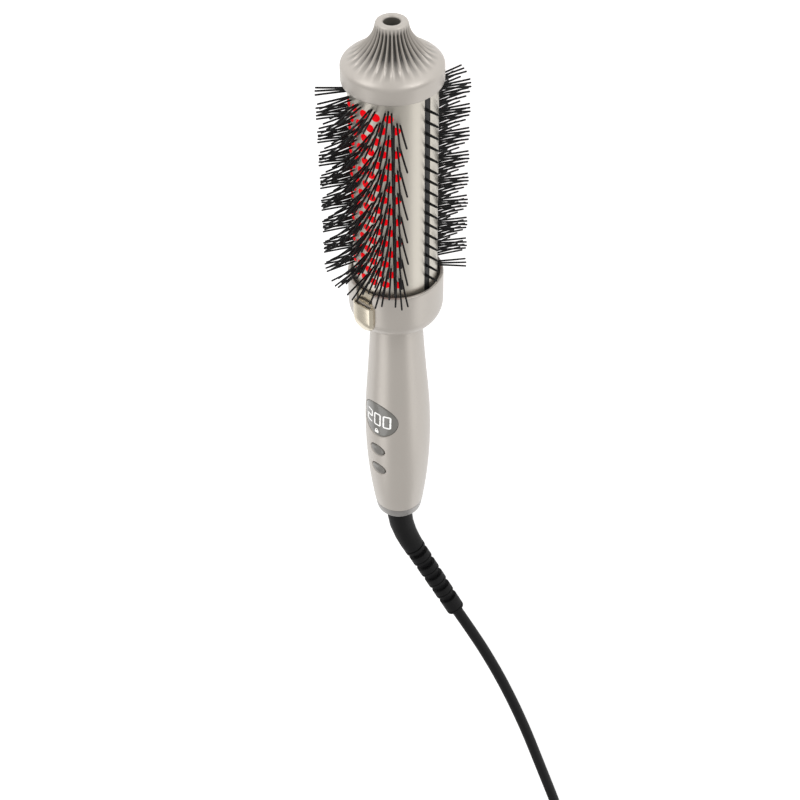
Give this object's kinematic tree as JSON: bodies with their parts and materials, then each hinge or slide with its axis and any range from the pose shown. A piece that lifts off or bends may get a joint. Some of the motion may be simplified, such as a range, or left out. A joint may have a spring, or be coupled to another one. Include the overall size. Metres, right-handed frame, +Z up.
{
  "type": "heated styling brush",
  "caption": "Heated round styling brush: slotted metal barrel with bristle tufts, comb strips and ribbed cool tip, display handle, swivel mains cord",
  "frame": {"origin": "on the table under the middle of the brush without its cord", "axes": "+Z up from the table the brush lies on; +X from the handle's end towards the cool tip, in plan"},
  "size_m": [0.6595, 0.1566, 0.0758],
  "materials": {
    "collar_plastic": "satin pearl champagne",
    "insulator": "black heat-proof moulding",
    "barrel_metal": "champagne anodised, satin",
    "bristle_nylon": "black nylon",
    "dark_plastic": "black moulding",
    "comb_plastic": "black heat-proof plastic",
    "circuit_board": "green board with parts",
    "cap_plastic": "satin pearl champagne, ribbed trumpet",
    "cord_rubber": "matte black",
    "tie_rubber": "matte black strap",
    "smoked_lens": "smoked, gloss",
    "ring_metal": "grey metallic",
    "handle_plastic": "satin pearl champagne",
    "heater_aluminium": "as extruded",
    "window_red": "clear red lens",
    "steel": "plain turned steel",
    "gold_chrome": "pale gold plating",
    "button_plastic": "smoked, gloss",
    "plug_plastic": "matte black moulding",
    "pin_metal": "nickel-plated",
    "heater_ceramic": "fired ceramic"
  },
  "bodies": {
    "brush": {"barrel_collar": "collar_plastic", "barrel_seat": "insulator", "barrel_tube": "barrel_metal", "bristle_rows_front": "bristle_nylon", "bristle_rows_rear": "bristle_nylon", "collar_insert": "dark_plastic", "comb_strip_left": "comb_plastic", "comb_strip_right": "comb_plastic", "control_board": "circuit_board", "cool_tip": "cap_plastic", "display_lens": "smoked_lens", "display_module": "dark_plastic", "handle_end_ring": "ring_metal", "handle_sleeve": "handle_plastic", "heater_core": "heater_aluminium", "infrared_board_front": "circuit_board", "infrared_board_rear": "circuit_board", "infrared_windows_front": "window_red", "infrared_windows_rear": "window_red", "inner_chassis": "dark_plastic", "ion_generator": "dark_plastic", "ion_needle": "steel", "ion_outlet_bezel": "gold_chrome", "mode_button_switch": "dark_plastic", "power_board": "circuit_board", "power_button_switch": "dark_plastic", "ptc_plates": "heater_ceramic", "temperature_sensor": "steel", "thermal_fuse": "steel", "tip_core": "insulator"},
    "power_button": {"power_button": "button_plastic"},
    "mode_button": {"mode_button": "button_plastic"},
    "cord": {"cord_boot": "cord_rubber", "power_cord": "cord_rubber", "cord_coil": "cord_rubber", "plug_lead": "cord_rubber", "cord_tie": "tie_rubber", "plug_body": "plug_plastic", "plug_pins": "pin_metal"}
  },
  "joints": [
    {"name": "power_button_press", "type": "slide", "parent": "brush", "child": "power_button", "axis": [0.1087, -0.5098, -0.8534], "range_m": [0, 0.0005], "stiffness_N_per_m": 400},
    {"name": "mode_button_press", "type": "slide", "parent": "brush", "child": "mode_button", "axis": [0.1087, -0.5098, -0.8534], "range_m": [0, 0.0005], "stiffness_N_per_m": 400},
    {"name": "cord_swivel", "type": "hinge", "parent": "brush", "child": "cord", "pos_m": [-0.14046, 0, 0.01172], "axis": [0.992, 0, 0.1263], "continuous": true}
  ]
}
